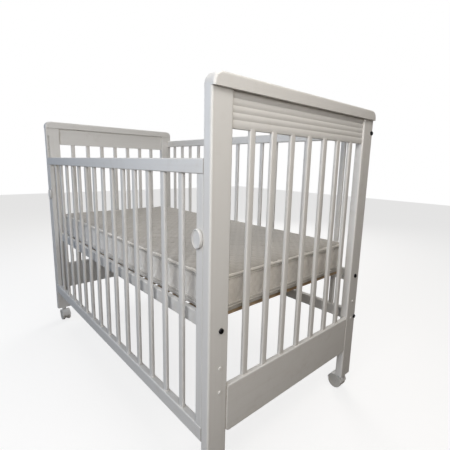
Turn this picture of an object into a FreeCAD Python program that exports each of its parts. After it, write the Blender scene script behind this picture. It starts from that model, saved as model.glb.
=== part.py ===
import FreeCAD
import Part
import os
from FreeCAD import Vector

# Slatted cot with one drop side, on four twin-wheel casters. Millimetres, +Z up.
# X runs along the cot (foot end at +X), Y across it (drop side at -Y, fixed side at +Y).
# The origin is on the floor, under the middle of the overall box.

# Driving dimensions
mattress_length = 1200.0
mattress_width = 600.0
mattress_bottom = 450.5
mattress_top = 562.0
mattress_corner = 13.0
mattress_rim = 9.0
end_play = 12.5             # space between each mattress end and the posts
cot_width = 680.0           # over the outer faces of the posts
knob_proud = 8.0            # how far the latch knobs stand out of the drop side
post_bottom = 60.0
cap_bottom = 969.0
cap_top = 998.0
drop_travel = 115.0         # how far the drop side rises from its lowered position

# End frames
post_thick = 25.0
post_wide = 59.0
post_round = 5.0            # its outer corners
post_inner_round = 2.0
board_bottom = 164.5
board_top = 293.0
board_thick = 15.0
board_corner = 12.0
board_round = 3.5
panel_bottom = 893.3
panel_front = 4.0           # set back from the posts' outer face
panel_back = 18.0
flute_lines = (911.0, 925.4, 939.8, 954.2)
flute_depth = 1.4
cap_proud = 8.0
cap_inner_lip = 3.0
cap_corner = 24.0
cap_edge = 6.0
end_slat_count = 7
slat_wide = 18.0
slat_thick = 10.0
slat_round = 3.0
tenon_wide = 12.0
tenon_thick = 7.0
tenon_long = 10.0
tenon_gap = 0.1

# Side frames: same rails, but only the drop side has stiles
rail_thick = 20.0
rail_round = 3.0
top_rail_high = 33.0
bottom_rail_high = 39.0
side_frame_high = 677.0
lowered_bottom = 153.0      # underside of the drop side when it is lowered
stile_wide = 25.0
stile_thick = 18.0
stile_round = 2.0
stile_tenon_wide = 14.0
stile_tenon_thick = 10.0
stile_tenon_long = 12.0     # stops short of the guide pins and the bolts
drop_slat_count = 14
fixed_slat_count = 15
drop_side_gap = 1.5         # between the drop side and each post

# Drop-side guides and latches
pin_radius = 3.4
pin_long = 27.8
pin_reach = 7.8             # how far a guide pin stands out of its rail
pin_ease = 0.6
track_wide = 10.0
track_deep = 9.0
track_wall = 1.2
track_back = 2.0
track_stop = 8.0
track_clear = 0.6           # between a guide pin and the end of its channel
track_screw_heights = (250.0, 540.0, 870.0)
track_screw_radius = 1.4
track_screw_head = 2.9
track_screw_sink = 1.6
track_screw_long = 12.0
latch_height = 657.0        # shaft axis with the side lowered
latch_from_edge = 9.5       # from the stile's inner edge
knob_wide = 33.0
knob_tall = 45.0
knob_rim = 2.6
knob_dish = 3.0
knob_gap = 0.5
knob_round = 2.0
shaft_radius = 5.0
running_gap = 0.05
tongue_long = 24.0
tongue_wide = 10.0
tongue_thick = 5.0
tongue_hub = 7.0
latch_pilot = 1.65
latch_screw_hole = 2.1
latch_screw_radius = 1.6
latch_screw_long = 15.0
latch_screw_head = 4.0
latch_screw_head_high = 2.6
latch_screw_round = 1.2
mortise_deep = 12.5
mortise_side_gap = 0.8

# Mattress base
base_rail_thick = 15.0
base_rail_bottom = 426.0
base_rail_top = 462.0
base_rail_inset = 28.0      # from the drop side's outer face
base_fixed_gap = 0.5        # to the fixed side's rails
ledge_wide = 12.0
ledge_top = 440.0
lath_top = 450.0
lath_wide = 50.0
lath_count = 13
lath_gap = 0.3              # between a lath's end and the rail
end_bar_wide = 20.0
end_bar_gap = 34.0          # between an end bar and the posts
base_round = 2.0            # long edges of the side rails and laths
base_screw_radius = 1.5
base_screw_head = 3.6
base_screw_sink = 2.2
base_screw_long = 20.0
base_screw_below = 0.3      # under the laths' upper face
plug_heights = (349.0, 286.0)
plug_radius = 5.0
plug_head_high = 1.8
plug_head_round = 1.4
plug_long = 9.0
plug_gap = 0.1

# Fasteners
bolt_radius = 3.0
bolt_hole_radius = 3.3
bolt_head_radius = 6.5
bolt_head_high = 4.5
bolt_head_round = 2.2
bolt_long = 70.0
bolt_hole_spare = 4.0       # how much deeper than the bolt its hole is
socket_flats = 4.0
socket_deep = 2.5
nut_radius = 5.0
nut_long = 13.0
nut_from_end = 30.0
nut_gap = 0.1
dowel_radius = 4.0
dowel_half = 18.0
board_dowel_heights = (200.0, 262.0)
panel_dowel_heights = (906.0, 947.0)
cap_dowel_shifts = (-15.0, 15.0)    # from the middle of a post

# Casters
wheel_radius = 25.0
wheel_wide = 11.5
wheel_inner = 7.0           # from the caster's middle plane to the wheel's inner face
caster_trail = 20.0
hood_radius = 28.0
hood_wall = 2.2
web_radius = 20.0
web_thick = 12.0
stem_radius = 5.0
stem_long = 36.0
socket_radius = 7.0
socket_flange = 12.0
flange_thick = 1.5
axle_radius = 2.5
axle_in_wheel = 8.0
axle_spare = 0.6            # how much deeper the wheel's bore is
wheel_round = 2.0
wheel_gap = 0.7             # round the wheels, inside the hood
recess_radius = 18.5
recess_deep = 1.5
hub_radius = 6.5
hood_cover = 0.5            # how far the hood stands past the wheels' outer faces
hood_bottom = 29.0
neck_past = 6.0
neck_top = 52.5
boss_radius = 9.5
boss_bottom = 51.2
swivel_gap = 0.5
stem_spare = 6.0

# Places that follow from the dimensions above
inner_half = mattress_length / 2 + end_play
half_length = inner_half + post_thick
drop_face = -cot_width / 2 + knob_proud / 2
fixed_face = drop_face + cot_width
post_inner_drop = drop_face + post_wide
post_inner_fixed = fixed_face - post_wide
drop_rail_middle = drop_face + rail_thick / 2
fixed_rail_middle = fixed_face - rail_thick / 2
fixed_bottom = lowered_bottom + drop_travel
end_slat_middle = 9.0       # from the posts' outer face
base_drop_outer = drop_face + base_rail_inset
base_drop_inner = base_drop_outer + base_rail_thick
base_fixed_outer = fixed_face - rail_thick - base_fixed_gap
base_fixed_inner = base_fixed_outer - base_rail_thick
base_bolt_height = (base_rail_bottom + base_rail_top) / 2
base_bolt_places = ((base_drop_outer + base_drop_inner) / 2, (base_fixed_outer + base_fixed_inner) / 2)
latch_x = inner_half - stile_wide + latch_from_edge

ends = {"foot": 1, "head": -1}
axis_x = Vector(1, 0, 0)
axis_y = Vector(0, 1, 0)
axis_z = Vector(0, 0, 1)


def block(x_pair, y_pair, z_pair):
    low = [min(pair) for pair in (x_pair, y_pair, z_pair)]
    high = [max(pair) for pair in (x_pair, y_pair, z_pair)]
    size = [high[i] - low[i] for i in range(3)]
    return Part.makeBox(size[0], size[1], size[2], Vector(*low))


def rod(radius, start, axis, length):
    return Part.makeCylinder(radius, length, Vector(*start), Vector(*axis))


def edges_along(shape, axis):
    """Straight edges that run along an axis."""
    found = []
    for edge in shape.Edges:
        if len(edge.Vertexes) == 2:
            run = edge.Vertexes[1].Point.sub(edge.Vertexes[0].Point)
            if run.Length > 0.01 and abs(abs(run.normalize().dot(axis)) - 1) < 1e-6:
                found.append(edge)
    return found


def eased(shape, axis, radius):
    """Round the straight edges that run along an axis."""
    return shape.makeFillet(radius, edges_along(shape, axis))


def inward(sign, *depths):
    """X places at given depths behind the outer face of an end frame's posts."""
    return [sign * (half_length - depth) for depth in depths]


def save(name, shape):
    solids = shape if isinstance(shape, list) else [shape]
    solids = [solid for item in solids for solid in item.Solids]
    for solid in solids:
        if not solid.isValid():
            raise RuntimeError(name + " is not a valid solid")
    whole = solids[0] if len(solids) == 1 else Part.makeCompound(solids)
    whole.exportStep("parts/" + name + ".step")
    print(name, len(solids), round(sum(solid.Volume for solid in solids) / 1000.0, 1), "cm3")


# Slats with tenons

def slat_upright(x_mid, y_mid, z_low, z_high, wide_axis):
    """A slat between two rails, with a tenon at each end. wide_axis is the axis of its width."""
    half = {"x": (slat_wide / 2, slat_thick / 2), "y": (slat_thick / 2, slat_wide / 2)}[wide_axis]
    body = block((x_mid - half[0], x_mid + half[0]), (y_mid - half[1], y_mid + half[1]), (z_low, z_high))
    body = eased(body, axis_z, slat_round)
    return body.fuse(slat_tenon(x_mid, y_mid, z_low, z_high, wide_axis, 0.0)).removeSplitter()


def slat_tenon(x_mid, y_mid, z_low, z_high, wide_axis, gap):
    """The tenons of one slat as a bar; with a gap it is the cutter for their mortises."""
    wide, thick = tenon_wide / 2 + gap, tenon_thick / 2 + gap
    half = {"x": (wide, thick), "y": (thick, wide)}[wide_axis]
    reach = tenon_long + gap
    return block((x_mid - half[0], x_mid + half[0]), (y_mid - half[1], y_mid + half[1]),
                 (z_low - reach, z_high + reach))


def even_places(low, high, count, wide):
    """Middles of equal pieces spread with equal gaps between low and high."""
    gap = (high - low - count * wide) / (count + 1)
    return [low + gap + wide / 2 + i * (gap + wide) for i in range(count)]


end_slat_places = even_places(post_inner_drop, post_inner_fixed, end_slat_count, slat_wide)
drop_reach = inner_half - stile_wide
drop_slat_places = even_places(-drop_reach, drop_reach, drop_slat_count, slat_wide)
fixed_slat_places = even_places(-inner_half, inner_half, fixed_slat_count, slat_wide)


# Dowels of the end frames

def end_dowels(sign):
    board_x, panel_x = inward(sign, board_thick / 2, (panel_front + panel_back) / 2 + 1)
    post_x = inward(sign, post_thick / 2)[0]
    rods = []       # the middle and direction of each dowel
    heights = [(board_x, height) for height in board_dowel_heights]
    heights += [(panel_x, height) for height in panel_dowel_heights]
    for x, height in heights:
        rods += [((x, y, height), axis_y) for y in (post_inner_drop, post_inner_fixed)]
    for y_post in (drop_face + post_wide / 2, fixed_face - post_wide / 2):
        rods += [((post_x, y_post + shift, cap_bottom), axis_z) for shift in cap_dowel_shifts]
    shapes = []
    for place, axis in rods:
        start = Vector(*place).sub(Vector(axis).multiply(dowel_half))
        shapes.append(Part.makeCylinder(dowel_radius, 2 * dowel_half, start, axis))
    return shapes


def cut_all(shape, cutters):
    return shape.cut(Part.makeCompound(cutters)) if cutters else shape


# Posts

def track_groove(sign):
    inner = sign * inner_half
    return block((inner, inner + sign * track_deep),
                 (drop_rail_middle - track_wide / 2, drop_rail_middle + track_wide / 2),
                 (track_low(), track_high()))


def track_low():
    return lowered_bottom + bottom_rail_high / 2 - pin_radius - track_clear - track_stop


def track_high():
    top_pin = lowered_bottom + side_frame_high - top_rail_high / 2
    return top_pin + drop_travel + pin_radius + track_clear + track_stop


def tongue_span():
    """Y span of the latch tongues, behind the stile."""
    near = drop_face + (rail_thick + stile_thick) / 2 + knob_gap
    return near, near + tongue_thick


def latch_mortises(sign):
    near, far = tongue_span()
    inner = sign * inner_half
    return [block((inner, inner + sign * mortise_deep),
                  (near - mortise_side_gap, far + mortise_side_gap),
                  (height - tongue_long, height + tongue_wide / 2 + 2))
            for height in (latch_height, latch_height + drop_travel)]


def post(sign, is_drop):
    outer, inner = inward(sign, 0, post_thick)
    y_pair = (drop_face, post_inner_drop) if is_drop else (post_inner_fixed, fixed_face)
    body = block((outer, inner), y_pair, (post_bottom, cap_bottom))
    outside = [edge for edge in edges_along(body, axis_z) if abs(edge.Vertexes[0].X - outer) < 0.01]
    body = body.makeFillet(post_round, outside)
    inside = [edge for edge in edges_along(body, axis_z) if abs(edge.Vertexes[0].X - inner) < 0.01]
    body = body.makeFillet(post_inner_round, inside)
    bolt_y = base_bolt_places[0] if is_drop else base_bolt_places[1]
    holes = [post_hole(sign, bolt_y, height) for height in (base_bolt_height,) + plug_heights]
    y_middle = (y_pair[0] + y_pair[1]) / 2
    x_middle = (outer + inner) / 2
    holes.append(rod(socket_radius, (x_middle, y_middle, post_bottom - 1), (0, 0, 1), stem_long + 2))
    if is_drop:
        holes.append(track_groove(sign))
        holes += latch_mortises(sign)
        holes += track_screw_shapes(sign)
    else:
        holes += [post_hole(sign, fixed_rail_middle, height) for height in fixed_bolt_heights()]
    return cut_all(body, holes + end_dowels(sign))


def post_hole(sign, y, height):
    """A bolt hole right through a post."""
    margin = 1.0
    outer = inward(sign, -margin)[0]
    return rod(bolt_hole_radius, (outer, y, height), (-sign, 0, 0), post_thick + 2 * margin)


def fixed_bolt_heights():
    return (fixed_bottom + side_frame_high - top_rail_high / 2, fixed_bottom + bottom_rail_high / 2)


# Boards, panels and cap rails

def bottom_board(sign):
    front, back = inward(sign, 0, board_thick)
    body = block((front, back), (post_inner_drop, post_inner_fixed), (board_bottom, board_top))
    low_corners = [edge for edge in edges_along(body, axis_x) if edge.Vertexes[0].Z < board_bottom + 1]
    body = body.makeFillet(board_corner, low_corners)
    body = eased(body, axis_y, board_round)
    return cut_all(body, end_slat_mortises(sign) + end_dowels(sign))


def end_slat_mortises(sign):
    x_slat = inward(sign, end_slat_middle)[0]
    return [slat_tenon(x_slat, y, board_top, panel_bottom, "y", tenon_gap) for y in end_slat_places]


def fluted_panel(sign):
    """A panel whose outer face is a row of shallow convex bands with a sharp line between them."""
    lines = (panel_bottom,) + flute_lines + (cap_bottom,)
    valley, crest, back = inward(sign, panel_front + flute_depth, panel_front, panel_back)
    edges = []
    for low, high in zip(lines[:-1], lines[1:]):
        start = Vector(valley, post_inner_drop, low)
        middle = Vector(crest, post_inner_drop, (low + high) / 2)
        end = Vector(valley, post_inner_drop, high)
        edges.append(Part.Arc(start, middle, end).toShape())
    corners = [Vector(valley, post_inner_drop, lines[-1]), Vector(back, post_inner_drop, lines[-1]),
               Vector(back, post_inner_drop, lines[0]), Vector(valley, post_inner_drop, lines[0])]
    edges += [Part.makeLine(a, b) for a, b in zip(corners[:-1], corners[1:])]
    outline = Part.Wire(Part.__sortEdges__(edges))
    body = Part.Face(outline).extrude(Vector(0, post_inner_fixed - post_inner_drop, 0))
    return cut_all(body, end_slat_mortises(sign) + end_dowels(sign))


def cap_rail(sign):
    outer, inner = inward(sign, -cap_proud, post_thick + cap_inner_lip)
    body = block((outer, inner), (drop_face, fixed_face), (cap_bottom, cap_top))
    corners = [edge for edge in edges_along(body, axis_x) if edge.Vertexes[0].Z > cap_top - 1]
    body = body.makeFillet(cap_corner, corners)
    rim = []
    for edge in body.Edges:
        points = [vertex.Point for vertex in edge.Vertexes]
        flat = max(p.x for p in points) - min(p.x for p in points) < 0.01
        above = max(p.z for p in points) > cap_bottom + 1
        if len(points) == 2 and flat and above:
            rim.append(edge)
    body = body.makeFillet(cap_edge, rim)
    return cut_all(body, end_dowels(sign))


def end_slats(sign):
    x_slat = inward(sign, end_slat_middle)[0]
    return [slat_upright(x_slat, y, board_top, panel_bottom, "y") for y in end_slat_places]


# Side frames

def stile_x(half, sign):
    return sign * (half + inner_half - stile_wide) / 2


def stile_tenons(half, sign, y_middle, z_low, z_high, gap):
    x_middle = stile_x(half, sign)
    wide, thick = stile_tenon_wide / 2 + gap, stile_tenon_thick / 2 + gap
    reach = stile_tenon_long + gap
    return block((x_middle - wide, x_middle + wide), (y_middle - thick, y_middle + thick),
                 (z_low - reach, z_high + reach))


def side_frame(half, y_middle, z_bottom, slat_places, has_stiles):
    """Rails, slats and, on the drop side, stiles of one side, as a dictionary of shapes."""
    z_top = z_bottom + side_frame_high
    slats_low = z_bottom + bottom_rail_high
    slats_high = z_top - top_rail_high
    cutters = [slat_tenon(x, y_middle, slats_low, slats_high, "x", tenon_gap) for x in slat_places]
    if has_stiles:
        cutters += [stile_tenons(half, sign, y_middle, slats_low, slats_high, tenon_gap) for sign in (1, -1)]
    shapes = {}
    y_pair = (y_middle - rail_thick / 2, y_middle + rail_thick / 2)
    for name, z_pair in (("top_rail", (slats_high, z_top)), ("bottom_rail", (z_bottom, slats_low))):
        body = block((-half, half), y_pair, z_pair)
        shapes[name] = cut_all(eased(body, axis_x, rail_round), cutters)
    if has_stiles:
        for name, sign in ends.items():
            shapes["stile_" + name] = stile(half, sign, y_middle, slats_low, slats_high)
    shapes["slats"] = [slat_upright(x, y_middle, slats_low, slats_high, "x") for x in slat_places]
    return shapes


def stile(half, sign, y_middle, z_low, z_high):
    body = block((sign * (inner_half - stile_wide), sign * half),
                 (y_middle - stile_thick / 2, y_middle + stile_thick / 2), (z_low, z_high))
    tenons = stile_tenons(half, sign, y_middle, z_low, z_high, 0.0)
    return eased(body, axis_z, stile_round).fuse(tenons).removeSplitter()


def build_drop_side():
    half = inner_half - drop_side_gap
    shapes = side_frame(half, drop_rail_middle, lowered_bottom, drop_slat_places, True)
    pins = []
    heights = {"bottom_rail": lowered_bottom + bottom_rail_high / 2,
               "top_rail": lowered_bottom + side_frame_high - top_rail_high / 2}
    for rail, height in heights.items():
        for sign in ends.values():
            start = (sign * (half + pin_reach), drop_rail_middle, height)
            pin = rod(pin_radius, start, (-sign, 0, 0), pin_long)
            pins.append(rounded_pin(pin))
            shapes[rail] = shapes[rail].cut(pin)
    for name, sign in ends.items():
        bore = rod(shaft_radius + running_gap, (sign * latch_x, drop_face - 5, latch_height), (0, 1, 0), 40)
        shapes["stile_" + name] = shapes["stile_" + name].cut(bore)
    for name, shape in shapes.items():
        save("drop_" + name, shape)
    save("drop_guide_pins", pins)


def rounded_pin(pin):
    """A guide pin with its ends eased."""
    return pin.makeChamfer(pin_ease, [edge for edge in pin.Edges if len(edge.Vertexes) == 1])


def build_fixed_side():
    shapes = side_frame(inner_half, fixed_rail_middle, fixed_bottom, fixed_slat_places, False)
    bolts = []
    nuts = []
    for rail, height in zip(("top_rail", "bottom_rail"), fixed_bolt_heights()):
        for sign in ends.values():
            place = (sign * half_length, fixed_rail_middle, height)
            bolts.append(bolt(sign, place))
            nuts.append(barrel_nut(sign, fixed_rail_middle, height))
            holes = [bolt_hole(sign, place), nut_hole(sign, fixed_rail_middle, height)]
            shapes[rail] = cut_all(shapes[rail], holes)
    for name, shape in shapes.items():
        save("fixed_" + name, shape)
    save("fixed_side_bolts", bolts)
    save("fixed_side_nuts", nuts)


# Bolts that pass through a post along X, and their barrel nuts

def bolt(sign, place):
    """A button-head bolt with a hex socket; place is under its head, on the post's face."""
    x, y, z = place
    head = rod(bolt_head_radius, (x, y, z), (sign, 0, 0), bolt_head_high)
    rim = [edge for edge in head.Edges if len(edge.Vertexes) == 1 and abs(edge.Vertexes[0].X - x) > 1]
    head = head.makeFillet(bolt_head_round, rim)
    shaft = rod(bolt_radius, (x, y, z), (-sign, 0, 0), bolt_long)
    top = Vector(x + sign * bolt_head_high, y, z)
    hexagon = Part.makePolygon([top.add(corner) for corner in hex_corners()])
    socket = Part.Face(hexagon).extrude(Vector(-sign * socket_deep, 0, 0))
    return head.fuse(shaft).removeSplitter().cut(socket)


def hex_corners():
    circle = Part.makeCircle(socket_flats / 3 ** 0.5, Vector(0, 0, 0), axis_x)
    points = circle.discretize(7)
    return points[:-1] + points[:1]


def bolt_hole(sign, place):
    return rod(bolt_hole_radius, place, (-sign, 0, 0), bolt_long + bolt_hole_spare)


def barrel_nut(sign, y_middle, height):
    x = sign * (inner_half - nut_from_end)
    body = rod(nut_radius, (x, y_middle - nut_long / 2, height), (0, 1, 0), nut_long)
    start = (x - 2 * nut_radius, y_middle, height)
    thread = rod(bolt_radius + running_gap, start, (1, 0, 0), 4 * nut_radius)
    return body.cut(thread)


def nut_hole(sign, y_middle, height):
    x = sign * (inner_half - nut_from_end)
    start = (x, y_middle - nut_long / 2 - nut_gap, height)
    return rod(nut_radius + nut_gap, start, (0, 1, 0), nut_long + 2 * nut_gap)


# Guide tracks

def track_screw_shapes(sign):
    """Countersunk screws that hold a track in its groove."""
    face = sign * (inner_half + track_deep - track_back)
    screws = []
    inwards = Vector(sign, 0, 0)
    for height in track_screw_heights:
        place = Vector(face, drop_rail_middle, height)
        head = Part.makeCone(track_screw_head, track_screw_radius, track_screw_sink, place, inwards)
        screws.append(head.fuse(rod(track_screw_radius, place, inwards, track_screw_long)))
    return screws


def guide_track(sign):
    body = track_groove(sign)
    channel_half = track_wide / 2 - track_wall
    channel = block((sign * (inner_half - 1), sign * (inner_half + track_deep - track_back)),
                    (drop_rail_middle - channel_half, drop_rail_middle + channel_half),
                    (track_low() + track_stop, track_high() - track_stop))
    return cut_all(body.cut(channel), track_screw_shapes(sign))


# Latches

def oval(x, y, z, wide, tall):
    """An upright elliptical face, normal to Y."""
    curve = Part.Ellipse(Vector(0, 0, 0), tall / 2, wide / 2).toShape()
    face = Part.Face(Part.Wire(curve))
    face.rotate(Vector(0, 0, 0), axis_z, 90)
    face.rotate(Vector(0, 0, 0), axis_x, 90)
    face.translate(Vector(x, y, z))
    return face


def latch_knob(sign):
    """Oval knob with a raised rim and a dished face, in one piece with its shaft."""
    x = sign * latch_x
    back = drop_face - knob_gap
    front = drop_face - knob_proud
    plate = oval(x, back, latch_height, knob_wide, knob_tall).extrude(Vector(0, front - back, 0))
    rims = [edge for edge in plate.Edges if len(edge.Vertexes) == 1]
    plate = plate.makeFillet(knob_round, [edge for edge in rims if abs(edge.Vertexes[0].Y - front) < 0.01])
    dish = oval(x, front, latch_height, knob_wide - 2 * knob_rim, knob_tall - 2 * knob_rim)
    plate = plate.cut(dish.extrude(Vector(0, knob_dish, 0)))
    shaft = rod(shaft_radius, (x, back - 1, latch_height), (0, 1, 0), tongue_span()[0] - back + 1)
    pilot_start = (x, tongue_span()[1] - latch_screw_long, latch_height)
    pilot = rod(latch_pilot, pilot_start, (0, 1, 0), latch_screw_long)
    return plate.fuse(shaft).removeSplitter().cut(pilot)


def latch_tongue(sign):
    """A flat tongue that hangs down when unlocked and turns into the post's mortise."""
    x = sign * latch_x
    near, far = tongue_span()
    radius = tongue_wide / 2
    tip = latch_height - tongue_long + radius
    body = rod(radius, (x, near, tip), (0, 1, 0), far - near)
    body = body.fuse(block((x - radius, x + radius), (near, far), (tip, latch_height)))
    body = body.fuse(rod(tongue_hub, (x, near, latch_height), (0, 1, 0), far - near)).removeSplitter()
    return body.cut(rod(latch_screw_hole, (x, near, latch_height), (0, 1, 0), far - near))


def latch_screw(sign):
    x = sign * latch_x
    far = tongue_span()[1]
    top = far + latch_screw_head_high
    head = rod(latch_screw_head, (x, far, latch_height), (0, 1, 0), latch_screw_head_high)
    rim = [edge for edge in head.Edges if len(edge.Vertexes) == 1 and edge.Vertexes[0].Y > top - 0.01]
    head = head.makeFillet(latch_screw_round, rim)
    shank = rod(latch_screw_radius, (x, far, latch_height), (0, -1, 0), latch_screw_long)
    slot_half, slot_deep = 0.5, 1.0
    slot = block((x - latch_screw_head, x + latch_screw_head), (top - slot_deep, top),
                 (latch_height - slot_half, latch_height + slot_half))
    return head.fuse(shank).removeSplitter().cut(slot)


# Mattress base

def base_side_rail(is_drop):
    """An L-shaped rail: an upright board with a ledge for the laths along its lower inner edge."""
    if is_drop:
        outer, inner, ledge = base_drop_outer, base_drop_inner, base_drop_inner + ledge_wide
    else:
        outer, inner, ledge = base_fixed_outer, base_fixed_inner, base_fixed_inner - ledge_wide
    upright = block((-inner_half, inner_half), (outer, inner), (base_rail_bottom, base_rail_top))
    upright = eased(upright, axis_x, base_round)
    lip = block((-inner_half, inner_half), ((outer + inner) / 2, ledge), (base_rail_bottom, ledge_top))
    body = upright.fuse(lip).removeSplitter()
    y_middle = (outer + inner) / 2
    holes = []
    for sign in ends.values():
        holes.append(bolt_hole(sign, (sign * half_length, y_middle, base_bolt_height)))
        holes.append(nut_hole(sign, y_middle, base_bolt_height))
    return cut_all(body, holes + base_screw_shapes())


def base_end_rail(sign):
    """A flat bar that closes the row of laths at one end, just inside the mattress."""
    outer, inner = inward(sign, post_thick + end_bar_gap, post_thick + end_bar_gap + end_bar_wide)
    y_pair = (base_drop_inner + lath_gap, base_fixed_inner - lath_gap)
    return cut_all(block((outer, inner), y_pair, (ledge_top, lath_top)), base_screw_shapes())


def lath_places():
    reach = inner_half - end_bar_gap - end_bar_wide
    return even_places(-reach, reach, lath_count, lath_wide)


def base_laths():
    laths = []
    for x in lath_places():
        body = block((x - lath_wide / 2, x + lath_wide / 2),
                     (base_drop_inner + lath_gap, base_fixed_inner - lath_gap), (ledge_top, lath_top))
        laths.append(cut_all(eased(body, axis_y, base_round), base_screw_shapes()))
    return laths


def base_screw_shapes():
    """Wood screws, sunk flush, that hold the laths and end rails down on the ledges."""
    screws = []
    top = lath_top - base_screw_below
    end_x = inner_half - end_bar_gap - end_bar_wide / 2
    for x in lath_places() + [-end_x, end_x]:
        for y in (base_drop_inner + ledge_wide / 2, base_fixed_inner - ledge_wide / 2):
            place = Vector(x, y, top)
            down = Vector(0, 0, -1)
            head = Part.makeCone(base_screw_head, base_screw_radius, base_screw_sink, place, down)
            screws.append(head.fuse(rod(base_screw_radius, place, down, base_screw_long)))
    return screws


def hole_plug(sign, y, z):
    """A push-in plug with a domed head for an unused bolt hole."""
    x = sign * half_length
    head = rod(plug_radius, (x, y, z), (sign, 0, 0), plug_head_high)
    rim = [edge for edge in head.Edges if len(edge.Vertexes) == 1 and abs(edge.Vertexes[0].X - x) > 1]
    head = head.makeFillet(plug_head_round, rim)
    return head.fuse(rod(bolt_hole_radius - plug_gap, (x, y, z), (-sign, 0, 0), plug_long)).removeSplitter()


def build_base():
    save("base_side_rail_drop", base_side_rail(True))
    save("base_side_rail_fixed", base_side_rail(False))
    for name, sign in ends.items():
        save("base_end_rail_" + name, base_end_rail(sign))
    save("base_laths", base_laths())
    save("base_lath_screws", base_screw_shapes())
    corners = [(sign, y) for sign in ends.values() for y in base_bolt_places]
    save("base_bolts", [bolt(sign, (sign * half_length, y, base_bolt_height)) for sign, y in corners])
    save("base_nuts", [barrel_nut(sign, y, base_bolt_height) for sign, y in corners])
    save("hole_plugs", [hole_plug(sign, y, z) for sign, y in corners for z in plug_heights])


def mattress():
    middle = (base_drop_inner + base_fixed_inner) / 2
    body = block((-mattress_length / 2, mattress_length / 2),
                 (middle - mattress_width / 2, middle + mattress_width / 2), (mattress_bottom, mattress_top))
    body = eased(body, axis_z, mattress_corner)
    rims = [edge for edge in body.Edges if abs(edge.Vertexes[0].Z - edge.Vertexes[-1].Z) < 0.01]
    return body.makeFillet(mattress_rim, rims)


# Casters

def caster_places():
    places = {}
    for end, sign in ends.items():
        x = inward(sign, post_thick / 2)[0]
        places[end + "_drop"] = (x, drop_face + post_wide / 2, sign)
        places[end + "_fixed"] = (x, fixed_face - post_wide / 2, sign)
    return places


def caster_socket(x, y):
    sleeve = rod(socket_radius, (x, y, post_bottom), (0, 0, 1), stem_long)
    flange = rod(socket_flange, (x, y, post_bottom - flange_thick), (0, 0, 1), flange_thick)
    below = post_bottom - flange_thick
    bore = rod(stem_radius + running_gap, (x, y, below), (0, 0, 1), stem_long)
    return sleeve.fuse(flange).removeSplitter().cut(bore)


def caster_body(x, y, sign):
    """Stem, boss, hood over both wheels, and the web between them, in one moulding."""
    axle_x = x - sign * caster_trail
    outer_wide = wheel_inner + wheel_wide + hood_cover
    hood_start = (axle_x, y - outer_wide, wheel_radius)
    hood = rod(hood_radius, hood_start, (0, 1, 0), 2 * outer_wide)
    hood = hood.cut(rod(hood_radius - hood_wall, hood_start, (0, 1, 0), 2 * outer_wide))
    open_below = block((axle_x - hood_radius, axle_x + hood_radius), (y - outer_wide, y + outer_wide),
                       (wheel_radius - hood_radius, hood_bottom))
    hood = hood.cut(open_below)
    web = rod(web_radius, (axle_x, y - web_thick / 2, wheel_radius), (0, 1, 0), web_thick)
    web_pair = (y - web_thick / 2, y + web_thick / 2)
    neck = block((axle_x, x + sign * neck_past), web_pair, (hood_bottom, neck_top))
    boss_top = post_bottom - flange_thick - swivel_gap
    boss = rod(boss_radius, (x, y, boss_bottom), (0, 0, 1), boss_top - boss_bottom)
    stem_top = post_bottom + stem_long - stem_spare
    stem = rod(stem_radius, (x, y, boss_bottom), (0, 0, 1), stem_top - boss_bottom)
    body = hood.fuse([web, neck, boss, stem]).removeSplitter()
    room_wide = wheel_wide + 2 * wheel_gap
    for shift in (wheel_inner - wheel_gap, wheel_gap - wheel_inner - room_wide):
        start = (axle_x, y + shift, wheel_radius)
        body = body.cut(rod(wheel_radius + wheel_gap, start, (0, 1, 0), room_wide))
    return body.cut(rod(axle_radius, (axle_x, y - outer_wide, wheel_radius), (0, 1, 0), 2 * outer_wide))


def caster_wheel(x, y, side):
    """One wheel with a rounded tread, a ring recess in its outer face and a blind bore."""
    inner = y + side * wheel_inner
    outer = inner + side * wheel_wide
    body = rod(wheel_radius, (x, inner, wheel_radius), (0, side, 0), wheel_wide)
    rims = [edge for edge in body.Edges if len(edge.Vertexes) == 1]
    body = body.makeFillet(wheel_round, rims)
    recess_start = (x, outer - side * recess_deep, wheel_radius)
    ring = rod(recess_radius, recess_start, (0, side, 0), recess_deep)
    ring = ring.cut(rod(hub_radius, recess_start, (0, side, 0), recess_deep))
    bore = rod(axle_radius + running_gap, (x, inner, wheel_radius), (0, side, 0), axle_in_wheel + axle_spare)
    return body.cut(ring).cut(bore)


def build_casters():
    sockets = []
    for name, (x, y, sign) in caster_places().items():
        axle_x = x - sign * caster_trail
        sockets.append(caster_socket(x, y))
        save("caster_body_" + name, caster_body(x, y, sign))
        save("caster_wheels_" + name, [caster_wheel(axle_x, y, side) for side in (1, -1)])
        reach = wheel_inner + axle_in_wheel
        axle = rod(axle_radius, (axle_x, y - reach, wheel_radius), (0, 1, 0), 2 * reach)
        save("caster_axle_" + name, axle)
    save("caster_sockets", sockets)


def build_ends():
    dowels = []
    for name, sign in ends.items():
        save(name + "_post_drop", post(sign, True))
        save(name + "_post_fixed", post(sign, False))
        save(name + "_cap_rail", cap_rail(sign))
        save(name + "_fluted_panel", fluted_panel(sign))
        save(name + "_bottom_board", bottom_board(sign))
        save(name + "_slats", end_slats(sign))
        save("guide_track_" + name, guide_track(sign))
        dowels += end_dowels(sign)
    save("frame_dowels", dowels)
    save("guide_track_screws", track_screw_shapes(1) + track_screw_shapes(-1))


def build_latches():
    for name, sign in ends.items():
        save("latch_knob_" + name, latch_knob(sign))
        save("latch_tongue_" + name, latch_tongue(sign))
        save("latch_screw_" + name, latch_screw(sign))


os.makedirs("parts", exist_ok=True)
build_ends()
build_fixed_side()
build_drop_side()
build_latches()
build_base()
save("mattress", mattress())
build_casters()
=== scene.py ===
import math

import bpy
import bmesh
from mathutils import Matrix, Vector, noise


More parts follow.
